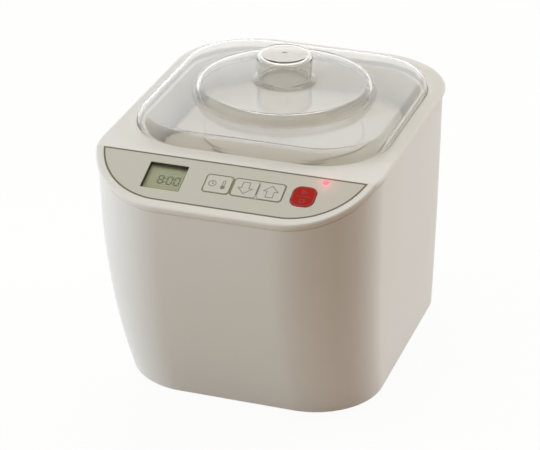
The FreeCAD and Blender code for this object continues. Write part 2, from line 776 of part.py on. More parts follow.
# Inner lid: cap over the container's lip with a round raised step and a lifting tab
cap_room = container_lip + inner_lid_clearance
cap_reach = cap_room + inner_lid_thickness
cap_top = container_top + inner_lid_thickness
cap_low = cap_top - inner_lid_skirt
cap = rounded_block(container_half + cap_reach, container_front - cap_reach, container_back + cap_reach,
                    container_corner_radius + cap_reach, cap_low, cap_top)
cap = round_edges(cap, inner_lid_round, lambda edge: lies_at(edge, cap_top))
cap_hollow = rounded_block(container_half + cap_room, container_front - cap_room, container_back + cap_room,
                           container_corner_radius + cap_room, cap_low, container_top)
step_top = cap_top + inner_lid_step_height
step = post(0, chamber_y, inner_lid_step_radius, container_top, step_top)
step = round_edges(step, inner_lid_step_height / 2, lambda edge: lies_at(edge, step_top))
step_room = post(0, chamber_y, inner_lid_step_radius - inner_lid_thickness, container_top,
                 step_top - inner_lid_thickness)
tab_half = inner_lid_tab_width / 2
tab = Part.makeBox(inner_lid_tab_length + inner_lid_thickness, inner_lid_tab_width, inner_lid_thickness,
                   Vector(-container_half - cap_reach - inner_lid_tab_length, chamber_y - tab_half, cap_low))
tab = round_edges(tab, inner_lid_tab_length / 2,
                  lambda edge: edge.BoundBox.ZLength > inner_lid_thickness / 2 and
                  edge.BoundBox.XMax < -container_half - cap_reach)
export("inner_lid", fuse_all([cap.cut(cap_hollow), step, tab]).cut(step_room))

# Outer lid: clear moulded cover with a round plateau, resting in the seat of the top cover
lid_half = open_half - lid_clearance
lid_front = open_front + lid_clearance
lid_back = open_back - lid_clearance
lid_radius = open_radius - lid_clearance
lid_top = rim_height + lid_rise
plateau_top = lid_top + plateau_rise


def lid_form(inset):
    """Outside of the lid moved inwards by an inset, with its round shoulder and plateau."""
    top = lid_top - inset
    level = plateau_top - inset
    tray = rounded_block(lid_half - inset, lid_front + inset, lid_back - inset, lid_radius - inset,
                         seat, top)
    tray = round_edges(tray, lid_round - inset, lambda edge: lies_at(edge, top))
    disc = post(0, chamber_y, plateau_radius - inset, seat, level)
    disc = round_edges(disc, plateau_round - inset / 2, lambda edge: lies_at(edge, level))
    form = tray.fuse(disc).removeSplitter()
    foot_width = 2 * (plateau_radius - inset)
    return round_edges(form, plateau_round, lambda edge: lies_at(edge, top)
                       and abs(edge.BoundBox.XLength - foot_width) < lid_wall)


export("outer_lid", lid_form(0).cut(lid_form(lid_wall)))

# Lid knob: hollow clear cup on a flared foot, welded on the plateau, with the mould's gate mark on top
knob_top = plateau_top + knob_height


def turned(points_and_arcs):
    """Solid of revolution about the knob's axis from lines (two points) and arcs (three points)."""
    edges = []
    for item in points_and_arcs:
        spots = [Vector(radius, chamber_y, z) for radius, z in item]
        curve = Part.Arc(*spots) if len(spots) == 3 else Part.LineSegment(*spots)
        edges.append(curve.toShape())
    face = Part.Face(Part.Wire(edges))
    return face.revolve(Vector(0, chamber_y, 0), Vector(0, 0, 1), 360)


waist = knob_radius - knob_waist
foot_top = plateau_top + knob_base_height
shoulder = knob_top - knob_round
bend = knob_round * (1 - math.sqrt(0.5))
inner_top = knob_top - knob_wall
inner_round = knob_round - knob_wall
gate_floor = knob_top - gate_depth
inner_bend = inner_round * (1 - math.sqrt(0.5))
bore = knob_radius - knob_wall
bore_low = waist - knob_wall
knob = turned([
    ((bore_low, plateau_top), (knob_base_radius, plateau_top)),
    ((knob_base_radius, plateau_top), (knob_base_radius, plateau_top + knob_base_edge)),
    ((knob_base_radius, plateau_top + knob_base_edge), (waist, foot_top)),
    ((waist, foot_top), (knob_radius, shoulder)),
    ((knob_radius, shoulder), (knob_radius - bend, knob_top - bend), (knob_radius - knob_round, knob_top)),
    ((knob_radius - knob_round, knob_top), (gate_radius, knob_top)),
    ((gate_radius, knob_top), (gate_radius, gate_floor)),
    ((gate_radius, gate_floor), (0, gate_floor)),
    ((0, gate_floor), (0, inner_top)),
    ((0, inner_top), (bore - inner_round, inner_top)),
    ((bore - inner_round, inner_top), (bore - inner_bend, inner_top - inner_bend),
     (bore, inner_top - inner_round)),
    ((bore, inner_top - inner_round), (bore_low, plateau_top)),
])
export("lid_knob", knob)
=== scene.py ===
"""Counter-top yogurt maker: finishes, signs, screen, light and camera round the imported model."""
import json
import math

import bpy
from mathutils import Matrix, Vector


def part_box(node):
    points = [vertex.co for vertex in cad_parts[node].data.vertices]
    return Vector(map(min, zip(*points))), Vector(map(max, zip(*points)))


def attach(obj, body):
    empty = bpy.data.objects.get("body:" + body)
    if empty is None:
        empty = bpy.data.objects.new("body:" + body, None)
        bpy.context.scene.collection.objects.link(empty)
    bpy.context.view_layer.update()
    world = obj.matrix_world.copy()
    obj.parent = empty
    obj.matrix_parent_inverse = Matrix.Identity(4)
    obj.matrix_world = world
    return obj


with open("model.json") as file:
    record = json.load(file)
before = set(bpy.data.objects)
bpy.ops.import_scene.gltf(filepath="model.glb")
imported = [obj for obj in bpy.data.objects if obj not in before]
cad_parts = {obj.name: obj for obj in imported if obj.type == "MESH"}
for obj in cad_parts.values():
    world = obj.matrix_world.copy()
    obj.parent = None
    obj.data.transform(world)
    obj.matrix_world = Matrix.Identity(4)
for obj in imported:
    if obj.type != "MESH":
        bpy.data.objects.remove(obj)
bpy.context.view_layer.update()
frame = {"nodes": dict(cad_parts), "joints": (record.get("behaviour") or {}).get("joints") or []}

cad_nodes = frame["nodes"]


# Base plate: the vented bottom cover, matt moulded plastic, screwed up into the body's bosses.
# Its finish starts the set of moulded plastics: a slow drift of colour from the melt, and a fine
# grain that breaks up the gloss.
def new_finish(name):
    """Empty node material with a principled shader."""
    material = bpy.data.materials.new(name)
    material.use_nodes = True
    return material


def shader_of(material):
    """Principled shader of a finish."""
    return material.node_tree.nodes["Principled BSDF"]


def object_noise(material, scale, detail):
    """Noise that is fixed to the piece, with a scale in waves per metre."""
    nodes = material.node_tree.nodes
    place = nodes.new("ShaderNodeTexCoord")
    noise = nodes.new("ShaderNodeTexNoise")
    noise.inputs["Scale"].default_value = scale
    noise.inputs["Detail"].default_value = detail
    material.node_tree.links.new(place.outputs["Object"], noise.inputs["Vector"])
    return noise.outputs["Fac"]


def colour_drift(material, pattern, colour, spread):
    """Base colour that wanders with a pattern by a small share to either side."""
    pattern_low, pattern_high = 0.3, 0.7
    ramp = material.node_tree.nodes.new("ShaderNodeValToRGB")
    for stop, share in zip(ramp.color_ramp.elements, (1 - spread, 1 + spread)):
        stop.color = (*(min(part * share, 1.0) for part in colour), 1.0)
    ramp.color_ramp.elements[0].position = pattern_low
    ramp.color_ramp.elements[1].position = pattern_high
    links = material.node_tree.links
    links.new(pattern, ramp.inputs["Fac"])
    links.new(ramp.outputs["Color"], shader_of(material).inputs["Base Color"])


def gloss_grain(material, pattern, roughness, spread, bump_height):
    """Roughness that wanders with a pattern, and a bump of the same grain."""
    bump_strength = 0.5
    nodes = material.node_tree.nodes
    links = material.node_tree.links
    span = nodes.new("ShaderNodeMapRange")
    span.inputs["To Min"].default_value = roughness - spread
    span.inputs["To Max"].default_value = roughness + spread
    links.new(pattern, span.inputs["Value"])
    links.new(span.outputs["Result"], shader_of(material).inputs["Roughness"])
    bump = nodes.new("ShaderNodeBump")
    bump.inputs["Strength"].default_value = bump_strength
    bump.inputs["Distance"].default_value = bump_height
    links.new(pattern, bump.inputs["Height"])
    links.new(bump.outputs["Normal"], shader_of(material).inputs["Normal"])


def moulded_plastic(name, colour, roughness, grain_height):
    """Moulded plastic with melt drift in its colour and a fine grain in its gloss."""
    melt_spread = 0.015
    gloss_spread = 0.04
    plastic_index = 1.5
    material = new_finish(name)
    melt = object_noise(material, scale=9.0, detail=2.0)
    colour_drift(material, melt, colour, melt_spread)
    grain = object_noise(material, scale=1600.0, detail=2.0)
    gloss_grain(material, grain, roughness, gloss_spread, grain_height)
    shader_of(material).inputs["IOR"].default_value = plastic_index
    return material


def finish_node(name, material):
    """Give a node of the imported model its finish."""
    mesh = cad_nodes[name].data
    mesh.materials.clear()
    mesh.materials.append(material)


base_plastic = moulded_plastic("base_plastic", (0.60, 0.58, 0.52),
                               roughness=0.55, grain_height=0.00004)
finish_node("base_plate", base_plastic)


# Feet: four soft black rubber pads pressed into round recesses of the base plate.
# The rubber is dull, with a dusty bloom and a fine pitted skin.
foot_rubber = new_finish("foot_rubber")
foot_bloom = object_noise(foot_rubber, scale=160.0, detail=4.0)
colour_drift(foot_rubber, foot_bloom, (0.035, 0.035, 0.034), spread=0.35)
foot_pits = object_noise(foot_rubber, scale=2400.0, detail=3.0)
gloss_grain(foot_rubber, foot_pits, roughness=0.78, spread=0.08, bump_height=0.00008)
finish_node("rubber_feet", foot_rubber)


# Screws: zinc plated steel with cross recesses, in the base, the boards and the liner's flange.
# The plating is bright with cloudy grey patches.
def plated_metal(name, colour, roughness):
    """Bare or plated metal with cloudy patches and fine tool marks."""
    patch_spread = 0.12
    gloss_spread = 0.08
    mark_height = 0.00002
    material = new_finish(name)
    patches = object_noise(material, scale=240.0, detail=3.0)
    colour_drift(material, patches, colour, patch_spread)
    marks = object_noise(material, scale=3000.0, detail=2.0)
    gloss_grain(material, marks, roughness, gloss_spread, mark_height)
    shader_of(material).inputs["Metallic"].default_value = 1.0
    return material


screw_steel = plated_metal("screw_steel", (0.56, 0.57, 0.58), roughness=0.32)
for screws in ("base_screws", "board_screws", "liner_screws", "power_board_screws"):
    finish_node(screws, screw_steel)


# Power board: green solder mask over copper tracks, carrying the transformer, relay and capacitors.
# It stands on posts of the base plate. The tracks show as paler bands under the mask.
def circuit_board(name, mask, track):
    """Printed board: bands of track under the solder mask."""
    band_scale = 120.0
    track_share = 0.06
    second_mask_share = 0.85
    material = new_finish(name)
    nodes = material.node_tree.nodes
    links = material.node_tree.links
    place = nodes.new("ShaderNodeTexCoord")
    bands = nodes.new("ShaderNodeTexBrick")
    bands.inputs["Scale"].default_value = band_scale
    bands.inputs["Mortar Size"].default_value = track_share
    bands.inputs["Color1"].default_value = (*mask, 1.0)
    bands.inputs["Color2"].default_value = (*(part * second_mask_share for part in mask), 1.0)
    bands.inputs["Mortar"].default_value = (*track, 1.0)
    links.new(place.outputs["Object"], bands.inputs["Vector"])
    links.new(bands.outputs["Color"], shader_of(material).inputs["Base Color"])
    weave = object_noise(material, scale=900.0, detail=2.0)
    gloss_grain(material, weave, roughness=0.35, spread=0.05, bump_height=0.00003)
    return material


board_mask = circuit_board("board_mask", mask=(0.010, 0.075, 0.030), track=(0.030, 0.160, 0.065))
finish_node("power_board", board_mask)
transformer_core = plated_metal("transformer_core", (0.11, 0.08, 0.06), roughness=0.55)
finish_node("transformer", transformer_core)
relay_case = moulded_plastic("relay_case", (0.02, 0.06, 0.24), roughness=0.35, grain_height=0.00003)
finish_node("relay", relay_case)
capacitor_sleeve = moulded_plastic("capacitor_sleeve", (0.012, 0.012, 0.020),
                                   roughness=0.30, grain_height=0.00002)
finish_node("capacitors", capacitor_sleeve)


# Power inlet: black two-pin socket in the back wall, with its flange outside and plated brass pins.
# Hard moulded plastic with a fine spark-eroded grain.
black_plastic = moulded_plastic("black_plastic", (0.018, 0.018, 0.019),
                                roughness=0.50, grain_height=0.00006)
finish_node("power_inlet", black_plastic)
pin_brass = plated_metal("pin_brass", (0.62, 0.50, 0.24), roughness=0.28)
finish_node("inlet_pins", pin_brass)


# Outer body: one tapered ivory moulding with a bowed front, polished to a soft gloss.
# It carries everything else and is the largest surface of the machine.
body_plastic = moulded_plastic("body_plastic", (0.795, 0.767, 0.690),
                               roughness=0.33, grain_height=0.00002)
finish_node("outer_body", body_plastic)


# Heated chamber: a drawn aluminium tub with a white baked coating that hangs from the top cover,
# wrapped in needled felt, with a silicone heating mat, clamping bars, sensor and fuse underneath.
liner_coat = moulded_plastic("liner_coat", (0.80, 0.765, 0.69),
                             roughness=0.42, grain_height=0.00003)
finish_node("chamber_liner", liner_coat)
felt = new_finish("felt")
felt_clumps = object_noise(felt, scale=420.0, detail=6.0)
colour_drift(felt, felt_clumps, (0.62, 0.58, 0.49), spread=0.14)
felt_fibres = object_noise(felt, scale=1500.0, detail=6.0)
gloss_grain(felt, felt_fibres, roughness=0.92, spread=0.05, bump_height=0.0006)
finish_node("insulation_sleeve", felt)
heater_rubber = new_finish("heater_rubber")
heater_clouds = object_noise(heater_rubber, scale=200.0, detail=3.0)
colour_drift(heater_rubber, heater_clouds, (0.33, 0.06, 0.03), spread=0.10)
heater_skin = object_noise(heater_rubber, scale=1800.0, detail=2.0)
gloss_grain(heater_rubber, heater_skin, roughness=0.62, spread=0.06, bump_height=0.00008)
finish_node("heating_mat", heater_rubber)
plain_aluminium = plated_metal("plain_aluminium", (0.74, 0.74, 0.73), roughness=0.38)
for piece in ("heater_bars", "temperature_sensor", "thermal_fuse"):
    finish_node(piece, plain_aluminium)


# Control board under the panel: switches under the keys, controller chip, buzzer and lead socket.
# It hangs on four bosses of the top cover. The white holder of the screen stands on it.
finish_node("control_board", board_mask)
for piece in ("key_switches", "controller_chip", "buzzer"):
    finish_node(piece, black_plastic)
white_plastic = moulded_plastic("white_plastic", (0.78, 0.77, 0.72),
                                roughness=0.45, grain_height=0.00003)
for piece in ("lead_socket", "display_holder"):
    finish_node(piece, white_plastic)


# Top cover: ivory like the body, with a thin lip, a flush skirt, the lid's seat and sloped panel.
# The same moulding compound as the body, polished a little more.
cover_plastic = moulded_plastic("cover_plastic", (0.80, 0.765, 0.68),
                                roughness=0.30, grain_height=0.00002)
finish_node("top_cover", cover_plastic)


# Panel film: pale olive printed film, glued into its shallow bed on the sloped panel.
# Its back is printed, so the face has an even, finely matt grain.
panel_film = moulded_plastic("panel_film", (0.590, 0.570, 0.468),
                             roughness=0.46, grain_height=0.00003)
finish_node("panel_overlay", panel_film)


# Border of the panel film: a printed olive black line along its whole edge.
# The sheet's outline is drawn flat, the front corners are rounded, and only its edge strip is kept.
press_axis = next(joint["axis"] for joint in frame["joints"] if joint["name"] == "mode_key_press")
panel_normal = -Vector(press_axis).normalized()
panel_slope = math.atan2(-panel_normal.y, panel_normal.z)
film_low, film_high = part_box("panel_overlay")
rim_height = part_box("top_cover")[1].z
film_level = max(vertex.co.dot(panel_normal) for vertex in cad_nodes["panel_overlay"].data.vertices)
fold_y = (film_level - rim_height * panel_normal.z) / panel_normal.y
panel_frame = Matrix.Translation((0, fold_y, rim_height)) @ Matrix.Rotation(panel_slope, 4, "X")
ink_thickness = 0.00010


def ink(name, colour):
    """Screen printing ink: dense colour with a slightly uneven edge to its gloss."""
    material = new_finish(name)
    density = object_noise(material, scale=600.0, detail=3.0)
    colour_drift(material, density, colour, spread=0.10)
    mesh_marks = object_noise(material, scale=2600.0, detail=2.0)
    gloss_grain(material, mesh_marks, roughness=0.50, spread=0.06, bump_height=0.00001)
    return material


def start_sign(name, width, height):
    """Flat sheet of a size, left in edit mode with all of it selected."""
    bpy.ops.object.select_all(action="DESELECT")
    bpy.ops.mesh.primitive_plane_add(size=1)
    sign = bpy.context.object
    sign.name = name
    sign.data.name = name
    bpy.ops.object.mode_set(mode="EDIT")
    bpy.ops.mesh.select_all(action="SELECT")
    bpy.ops.transform.resize(value=(width, height, 1))
    return sign


def round_corners(radius, steps):
    """Round the corners of the sheet in hand and select all of it again."""
    bpy.ops.mesh.bevel(offset=radius, segments=steps, affect="VERTICES")
    bpy.ops.mesh.select_all(action="SELECT")


def keep_edge_strip(line):
    """Of the sheet in hand keep only a strip of that width along its edge."""
    bpy.ops.mesh.select_all(action="SELECT")
    bpy.ops.mesh.inset(thickness=line, depth=0)
    bpy.ops.mesh.delete(type="FACE")


def turn_sign(angle):
    """Turn the sheet in hand about its middle."""
    bpy.ops.mesh.select_all(action="SELECT")
    bpy.ops.transform.rotate(value=angle, orient_axis="Z", center_override=(0, 0, 0))


def lay_sign(sign, across, down, height, material, body, thickness=ink_thickness):
    """Give a flat sign its thickness, lay it on the panel and let it ride on a body."""
    bpy.ops.object.mode_set(mode="OBJECT")
    solidify = sign.modifiers.new("ink", "SOLIDIFY")
    solidify.thickness = thickness
    solidify.offset = 0
    bpy.ops.object.modifier_apply(modifier=solidify.name)
    seat = panel_frame @ Matrix.Translation((across, -down, height))
    sign.matrix_world = seat @ sign.matrix_world
    bpy.ops.object.transform_apply(location=True, rotation=True, scale=True)
    sign.data.materials.append(material)
    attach(sign, body)


olive_ink = ink("olive_ink", (0.140, 0.124, 0.066))
border_width = 0.0015
film_inset = 0.0074
film_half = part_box("top_cover")[1].x - film_inset
front_corner = 0.065
sheet_length = 4 * front_corner
slope_stretch = 1 / math.cos(panel_slope)
front_edge = (fold_y - film_low.y) * slope_stretch
back_edge = (film_high.y - fold_y) * slope_stretch
border = start_sign("panel_border", 2 * film_half, sheet_length)
round_corners(front_corner, steps=28)
bpy.ops.transform.resize(value=(1, slope_stretch, 1))
bpy.ops.transform.translate(value=(0, sheet_length / 2 * slope_stretch - front_edge, 0))
bpy.ops.mesh.bisect(plane_co=(0, back_edge, 0), plane_no=(0, 1, 0), clear_outer=True)
keep_edge_strip(border_width)
lay_sign(border, 0, 0, 0, olive_ink, "housing")


# Key frames: printed olive outlines round the mode key and round the pair of arrow keys.
# They are narrow rounded strips on the film, with a short bar between the two arrows.
def panel_place(name):
    """Middle across and down the slope, width, height and level of a node's face on the panel."""
    face_tolerance = 0.0002
    points = [panel_frame.inverted() @ vertex.co for vertex in cad_nodes[name].data.vertices]
    top = max(point.z for point in points)
    face = [point for point in points if point.z > top - face_tolerance]
    left = min(point.x for point in face)
    right = max(point.x for point in face)
    front = min(point.y for point in face)
    back = max(point.y for point in face)
    return (left + right) / 2, -(front + back) / 2, right - left, back - front, top


frame_ink = ink("frame_ink", (0.200, 0.178, 0.085))
frame_line = 0.00095
frame_margin = 0.0013
frame_corner = 0.0034
mode_across, mode_down, mode_width, mode_height, _ = panel_place("mode_key")
down_across, down_down, down_width, _, _ = panel_place("down_key")
up_across, up_down, up_width, _, key_top = panel_place("up_key")
pair_across = (down_across - down_width / 2 + up_across + up_width / 2) / 2
pair_width = up_across + up_width / 2 - down_across + down_width / 2
key_frames = (("mode_frame", mode_across, mode_width), ("arrow_frame", pair_across, pair_width))
for name, across, width in key_frames:
    outline = start_sign(name, width + 2 * frame_margin, mode_height + 2 * frame_margin)
    round_corners(frame_corner, steps=8)
    keep_edge_strip(frame_line)
    lay_sign(outline, across, mode_down, 0, frame_ink, "housing")
divider_width = 0.0006
divider_share = 0.62
divider_across = (down_across + down_width / 2 + up_across - up_width / 2) / 2
divider = start_sign("arrow_divider", divider_width, mode_height * divider_share)
round_corners(divider_width / 3, steps=3)
lay_sign(divider, divider_across, mode_down, 0, frame_ink, "housing")


# Keys: three white caps, matt film over rubber, that are pressed along the panel's normal.
# They carry outlined arrows and signs for time and warmth, printed in grey.
key_white = moulded_plastic("key_white", (0.62, 0.60, 0.505), roughness=0.48, grain_height=0.00004)
for name in ("mode_key", "down_key", "up_key"):
    finish_node(name, key_white)
sign_ink = ink("sign_ink", (0.235, 0.215, 0.150))
sign_line = 0.0007
arrow_width = 0.0142
arrow_height = 0.0136
shaft_width = 0.0068
head_share = 0.52


def arrow_sign(name, across, down, turn, body):
    """Outlined block arrow: the corners of a flat sheet are shaped to shaft and head."""
    middle_tolerance = 1e-6
    arrow = start_sign(name, arrow_width, arrow_height)
    bpy.ops.mesh.subdivide(number_cuts=1)
    bpy.ops.object.mode_set(mode="OBJECT")
    neck = arrow_height * (0.5 - head_share)
    for vertex in arrow.data.vertices:
        side = (vertex.co.x > middle_tolerance) - (vertex.co.x < -middle_tolerance)
        end = (vertex.co.y > middle_tolerance) - (vertex.co.y < -middle_tolerance)
        if end > 0:
            vertex.co = (side * arrow_width / 2, neck, 0) if side else (0, arrow_height / 2, 0)
        elif end == 0:
            vertex.co = (side * shaft_width / 2, neck, 0)
        else:
            vertex.co = (side * shaft_width / 2, -arrow_height / 2, 0)
    bpy.ops.object.mode_set(mode="EDIT")
    bpy.ops.mesh.select_all(action="SELECT")
    bpy.ops.mesh.dissolve_limited(angle_limit=0.01)
    keep_edge_strip(sign_line)
    turn_sign(turn)
    lay_sign(arrow, across, down, key_top, sign_ink, body)


arrow_sign("down_arrow", down_across, down_down, math.pi, "down_button")
arrow_sign("up_arrow", up_across, up_down, 0, "up_button")

sign_offset = 0.0048
clock_across = mode_across - sign_offset
clock_size = 0.0068
clock_corner = clock_size / 2.02
clock = start_sign("time_sign", clock_size, clock_size)
round_corners(clock_corner, steps=12)
keep_edge_strip(sign_line)
lay_sign(clock, clock_across, mode_down, key_top, sign_ink, "mode_button")
# Name, length, shift away from the clock's middle and turn of each hand
clock_hands = (("time_hand_long", 0.0024, 0.0010, 0), ("time_hand_short", 0.0018, 0.0007, 1.9))
for name, length, shift, turn in clock_hands:
    hand = start_sign(name, sign_line, length)
    round_corners(sign_line / 3, steps=3)
    bpy.ops.transform.translate(value=(0, shift, 0))
    turn_sign(turn)
    lay_sign(hand, clock_across, mode_down, key_top, sign_ink, "mode_button")

warmth_across = mode_across + sign_offset
stem_width = 0.0026
stem_height = 0.0074
stem_corner = 0.0012
stem_rise = 0.0012
stem = start_sign("warmth_stem", stem_width, stem_height)
round_corners(stem_corner, steps=6)
keep_edge_strip(sign_line)
lay_sign(stem, warmth_across, mode_down - stem_rise, key_top, sign_ink, "mode_button")
bulb_size = 0.0040
bulb_corner = 0.0019
bulb_drop = 0.0030
bulb = start_sign("warmth_bulb", bulb_size, bulb_size)
round_corners(bulb_corner, steps=10)
lay_sign(bulb, warmth_across, mode_down + bulb_drop, key_top, sign_ink, "mode_button")


# Start and stop key: red cap with a darker printed edge and a thin bar across its middle.
# A triangle above the bar and a square below it are printed in the same dark red.
key_red = moulded_plastic("key_red", (0.44, 0.012, 0.003), roughness=0.50, grain_height=0.00004)
shader_of(key_red).inputs["IOR"].default_value = 1.2
finish_node("start_stop_key", key_red)
dark_red_ink = ink("dark_red_ink", (0.21, 0.004, 0.003))
start_across, start_down, start_width, start_height, start_top = panel_place("start_stop_key")
edge_room = 0.0006
edge_corner = 0.0066
edge_line = 0.0011
start_edge = start_sign("start_stop_edge", start_width - edge_room, start_height - edge_room)
round_corners(edge_corner, steps=10)
keep_edge_strip(edge_line)
lay_sign(start_edge, start_across, start_down, start_top, dark_red_ink, "start_stop_button")
bar_share = 0.62
bar_width = 0.0006
bar_corner = 0.0002
start_bar = start_sign("start_stop_bar", start_width * bar_share, bar_width)
round_corners(bar_corner, steps=3)
lay_sign(start_bar, start_across, start_down, start_top, dark_red_ink, "start_stop_button")
mark_line = 0.0008
mark_shift = start_height * 0.22
start_mark_size = 0.0054
start_mark = start_sign("start_mark", start_mark_size, start_mark_size)
bpy.ops.mesh.select_all(action="DESELECT")
bpy.ops.object.mode_set(mode="OBJECT")
for vertex in start_mark.data.vertices:
    vertex.select = vertex.co.x > 0
bpy.ops.object.mode_set(mode="EDIT")
bpy.ops.mesh.merge(type="CENTER")
keep_edge_strip(mark_line)
lay_sign(start_mark, start_across, start_down - mark_shift, start_top,
         dark_red_ink, "start_stop_button")
stop_mark_size = 0.0046
stop_mark_corner = 0.0004
stop_mark = start_sign("stop_mark", stop_mark_size, stop_mark_size)
round_corners(stop_mark_corner, steps=3)
keep_edge_strip(mark_line)
lay_sign(stop_mark, start_across, start_down + mark_shift, start_top,
         dark_red_ink, "start_stop_button")


# Screen: a clear window under the cover, a dark strip of painted shade that lines its opening, and
# behind them the grey green liquid crystal glass. Dark bar-shaped segments show the time in plain
# figures.
def clear_plastic(name, tint, roughness):
    """Clear polished plastic with a trace of waviness in its surface."""
    tint_spread = 0.005
    wave_height = 0.00004
    clear_index = 1.49
    material = new_finish(name)
    tint_drift = object_noise(material, scale=12.0, detail=1.0)
    colour_drift(material, tint_drift, tint, tint_spread)
    waves = object_noise(material, scale=35.0, detail=1.0)
    gloss_grain(material, waves, roughness, roughness / 2, wave_height)
    shader_of(material).inputs["Transmission Weight"].default_value = 1.0
    shader_of(material).inputs["IOR"].default_value = clear_index
    return material


window_clear = clear_plastic("window_clear", (0.94, 0.95, 0.92), roughness=0.02)
shader_of(window_clear).inputs["IOR"].default_value = 1.2
finish_node("screen_window", window_clear)

# Painted shade: the dark strip along the walls of the screen's opening stands for the shadow that
# falls there; it is no real gasket.
opening_shade_paint = new_finish("opening_shade_paint")
shade_paint_clouds = object_noise(opening_shade_paint, scale=500.0, detail=4.0)
colour_drift(opening_shade_paint, shade_paint_clouds, (0.060, 0.054, 0.036), spread=0.25)
shade_paint_grain = object_noise(opening_shade_paint, scale=2200.0, detail=3.0)
gloss_grain(opening_shade_paint, shade_paint_grain, roughness=0.85, spread=0.06, bump_height=0.00005)
window_border = 0.002
opening_corner = 0.001
shade_strip_width = 0.0005
shade_strip_recess = 0.0003
window_across, window_down, window_width, window_height, window_top = panel_place("screen_window")
shade_strip_depth = -window_top - shade_strip_recess
shade_strip_level = (window_top - shade_strip_recess) / 2
opening_width = window_width - 2 * window_border
opening_height = window_height - 2 * window_border
# The strip laid here is painted shade on the walls of the screen's opening.
shade_strip = start_sign("screen_opening_shade", opening_width, opening_height)
round_corners(opening_corner, steps=4)
keep_edge_strip(shade_strip_width)
lay_sign(shade_strip, window_across, window_down, shade_strip_level, opening_shade_paint, "housing", shade_strip_depth)

screen_glass = moulded_plastic("screen_glass", (0.315, 0.320, 0.195),
                               roughness=0.40, grain_height=0.00001)
shader_of(screen_glass).inputs["IOR"].default_value = 1.15
finish_node("display_glass", screen_glass)
glass_across, glass_down, _, _, glass_top = panel_place("display_glass")

segment_ink = ink("segment_ink", (0.045, 0.047, 0.027))
shader_of(segment_ink).inputs["IOR"].default_value = 1.1
segment_length = 0.0042
segment_width = 0.0010
segment_span = segment_length * 0.86
segment_point = segment_width * 0.45
segment_level = glass_top + ink_thickness * 0.1
figure_pitch = 0.0064
readout_across = glass_across + 0.0032
readout_down = glass_down + 0.0004
# Place of each bar in segment lengths, sideways and upwards, and whether it stands upright
bar_places = {
    "top": (0, 1, False), "middle": (0, 0, False), "bottom": (0, -1, False),
    "top_left": (-0.5, 0.5, True), "top_right": (0.5, 0.5, True),
    "bottom_left": (-0.5, -0.5, True), "bottom_right": (0.5, -0.5, True),
}
all_bars = tuple(bar_places)
ring_bars = tuple(bar for bar in all_bars if bar != "middle")
figures = (("hour", all_bars, -1.1), ("ten", ring_bars, 0.1), ("one", ring_bars, 1.1))
for figure, bars, step in figures:
    for bar in bars:
        sideways, upwards, upright = bar_places[bar]
        segment = start_sign("segment_" + figure + "_" + bar, segment_span, segment_width)
        round_corners(segment_point, steps=1)
        if upright:
            turn_sign(math.pi / 2)
        segment_across = readout_across + step * figure_pitch + sideways * segment_length
        segment_down = readout_down - upwards * segment_length
        lay_sign(segment, segment_across, segment_down, segment_level, segment_ink, "housing")
dot_size = 0.0009
dot_corner = 0.0003
dots_across = readout_across - 0.5 * figure_pitch
for name, upwards in (("segment_dot_low", -0.5), ("segment_dot_high", 0.5)):
    dot = start_sign(name, dot_size, dot_size)
    round_corners(dot_corner, steps=3)
    dot_down = readout_down - upwards * segment_length
    lay_sign(dot, dots_across, dot_down, segment_level, segment_ink, "housing")


# Status lamp: a round red lamp with a domed lens that shows through its hole in the film.
# The lens glows evenly, and a small light above it tints the film round the hole.
lamp_lens = new_finish("lamp_lens")
lens_clouds = object_noise(lamp_lens, scale=300.0, detail=2.0)
colour_drift(lamp_lens, lens_clouds, (0.80, 0.05, 0.09), spread=0.10)
lens_waves = object_noise(lamp_lens, scale=900.0, detail=1.0)
gloss_grain(lamp_lens, lens_waves, roughness=0.25, spread=0.05, bump_height=0.00001)
shader_of(lamp_lens).inputs["Emission Color"].default_value = (1.0, 0.12, 0.19, 1.0)
shader_of(lamp_lens).inputs["Emission Strength"].default_value = 1.6
finish_node("status_lamp", lamp_lens)
lamp_low, lamp_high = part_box("status_lamp")
halo = bpy.data.lights.new("lamp_halo", "POINT")
halo.energy = 0.0014
halo.color = (1.0, 0.12, 0.22)
halo.shadow_soft_size = 0.002
halo_holder = bpy.data.objects.new("lamp_halo", halo)
bpy.context.scene.collection.objects.link(halo_holder)
halo_holder.location = (lamp_low + lamp_high) / 2 + panel_normal * (lamp_high.z - lamp_low.z)


# Container and its lid: milky food plastic, moulded with soft edges, lifted out for cleaning.
# They show blurred through the clear outer lid.
container_plastic = moulded_plastic("container_plastic", (0.78, 0.755, 0.69),
                                    roughness=0.38, grain_height=0.00002)
finish_node("inner_container", container_plastic)
# The inner lid is the container's milky plastic, coloured much darker as painted shade for the dim
# light under the clear outer lid.
inner_lid_plastic = moulded_plastic("inner_lid_plastic", (0.53, 0.495, 0.415),
                                    roughness=0.40, grain_height=0.00002)
finish_node("inner_lid", inner_lid_plastic)


# Outer lid and knob: clear plastic with a faint milky bloom, a shallow tray with a round plateau
# and a hollow knob. The lid rests in the seat of the top cover and is lifted off by the knob, which
# is welded to the plateau: where the two faces meet, only the plateau's is shown.
lid_clear = clear_plastic("lid_clear", (0.985, 0.978, 0.952), roughness=0.09)
lid_shader = shader_of(lid_clear)
lid_shader.inputs["Transmission Weight"].default_value = 0.95
lid_shader.inputs["IOR"].default_value = 1.37
lid_shader.inputs["Sheen Weight"].default_value = 0.7
lid_shader.inputs["Sheen Roughness"].default_value = 0.50
finish_node("outer_lid", lid_clear)
knob_clear = clear_plastic("knob_clear", (0.925, 0.91, 0.875), roughness=0.05)
knob_shader = shader_of(knob_clear)
knob_shader.inputs["Transmission Weight"].default_value = 0.985
knob_nodes = knob_clear.node_tree.nodes
knob_links = knob_clear.node_tree.links
knob_place = knob_nodes.new("ShaderNodeTexCoord")
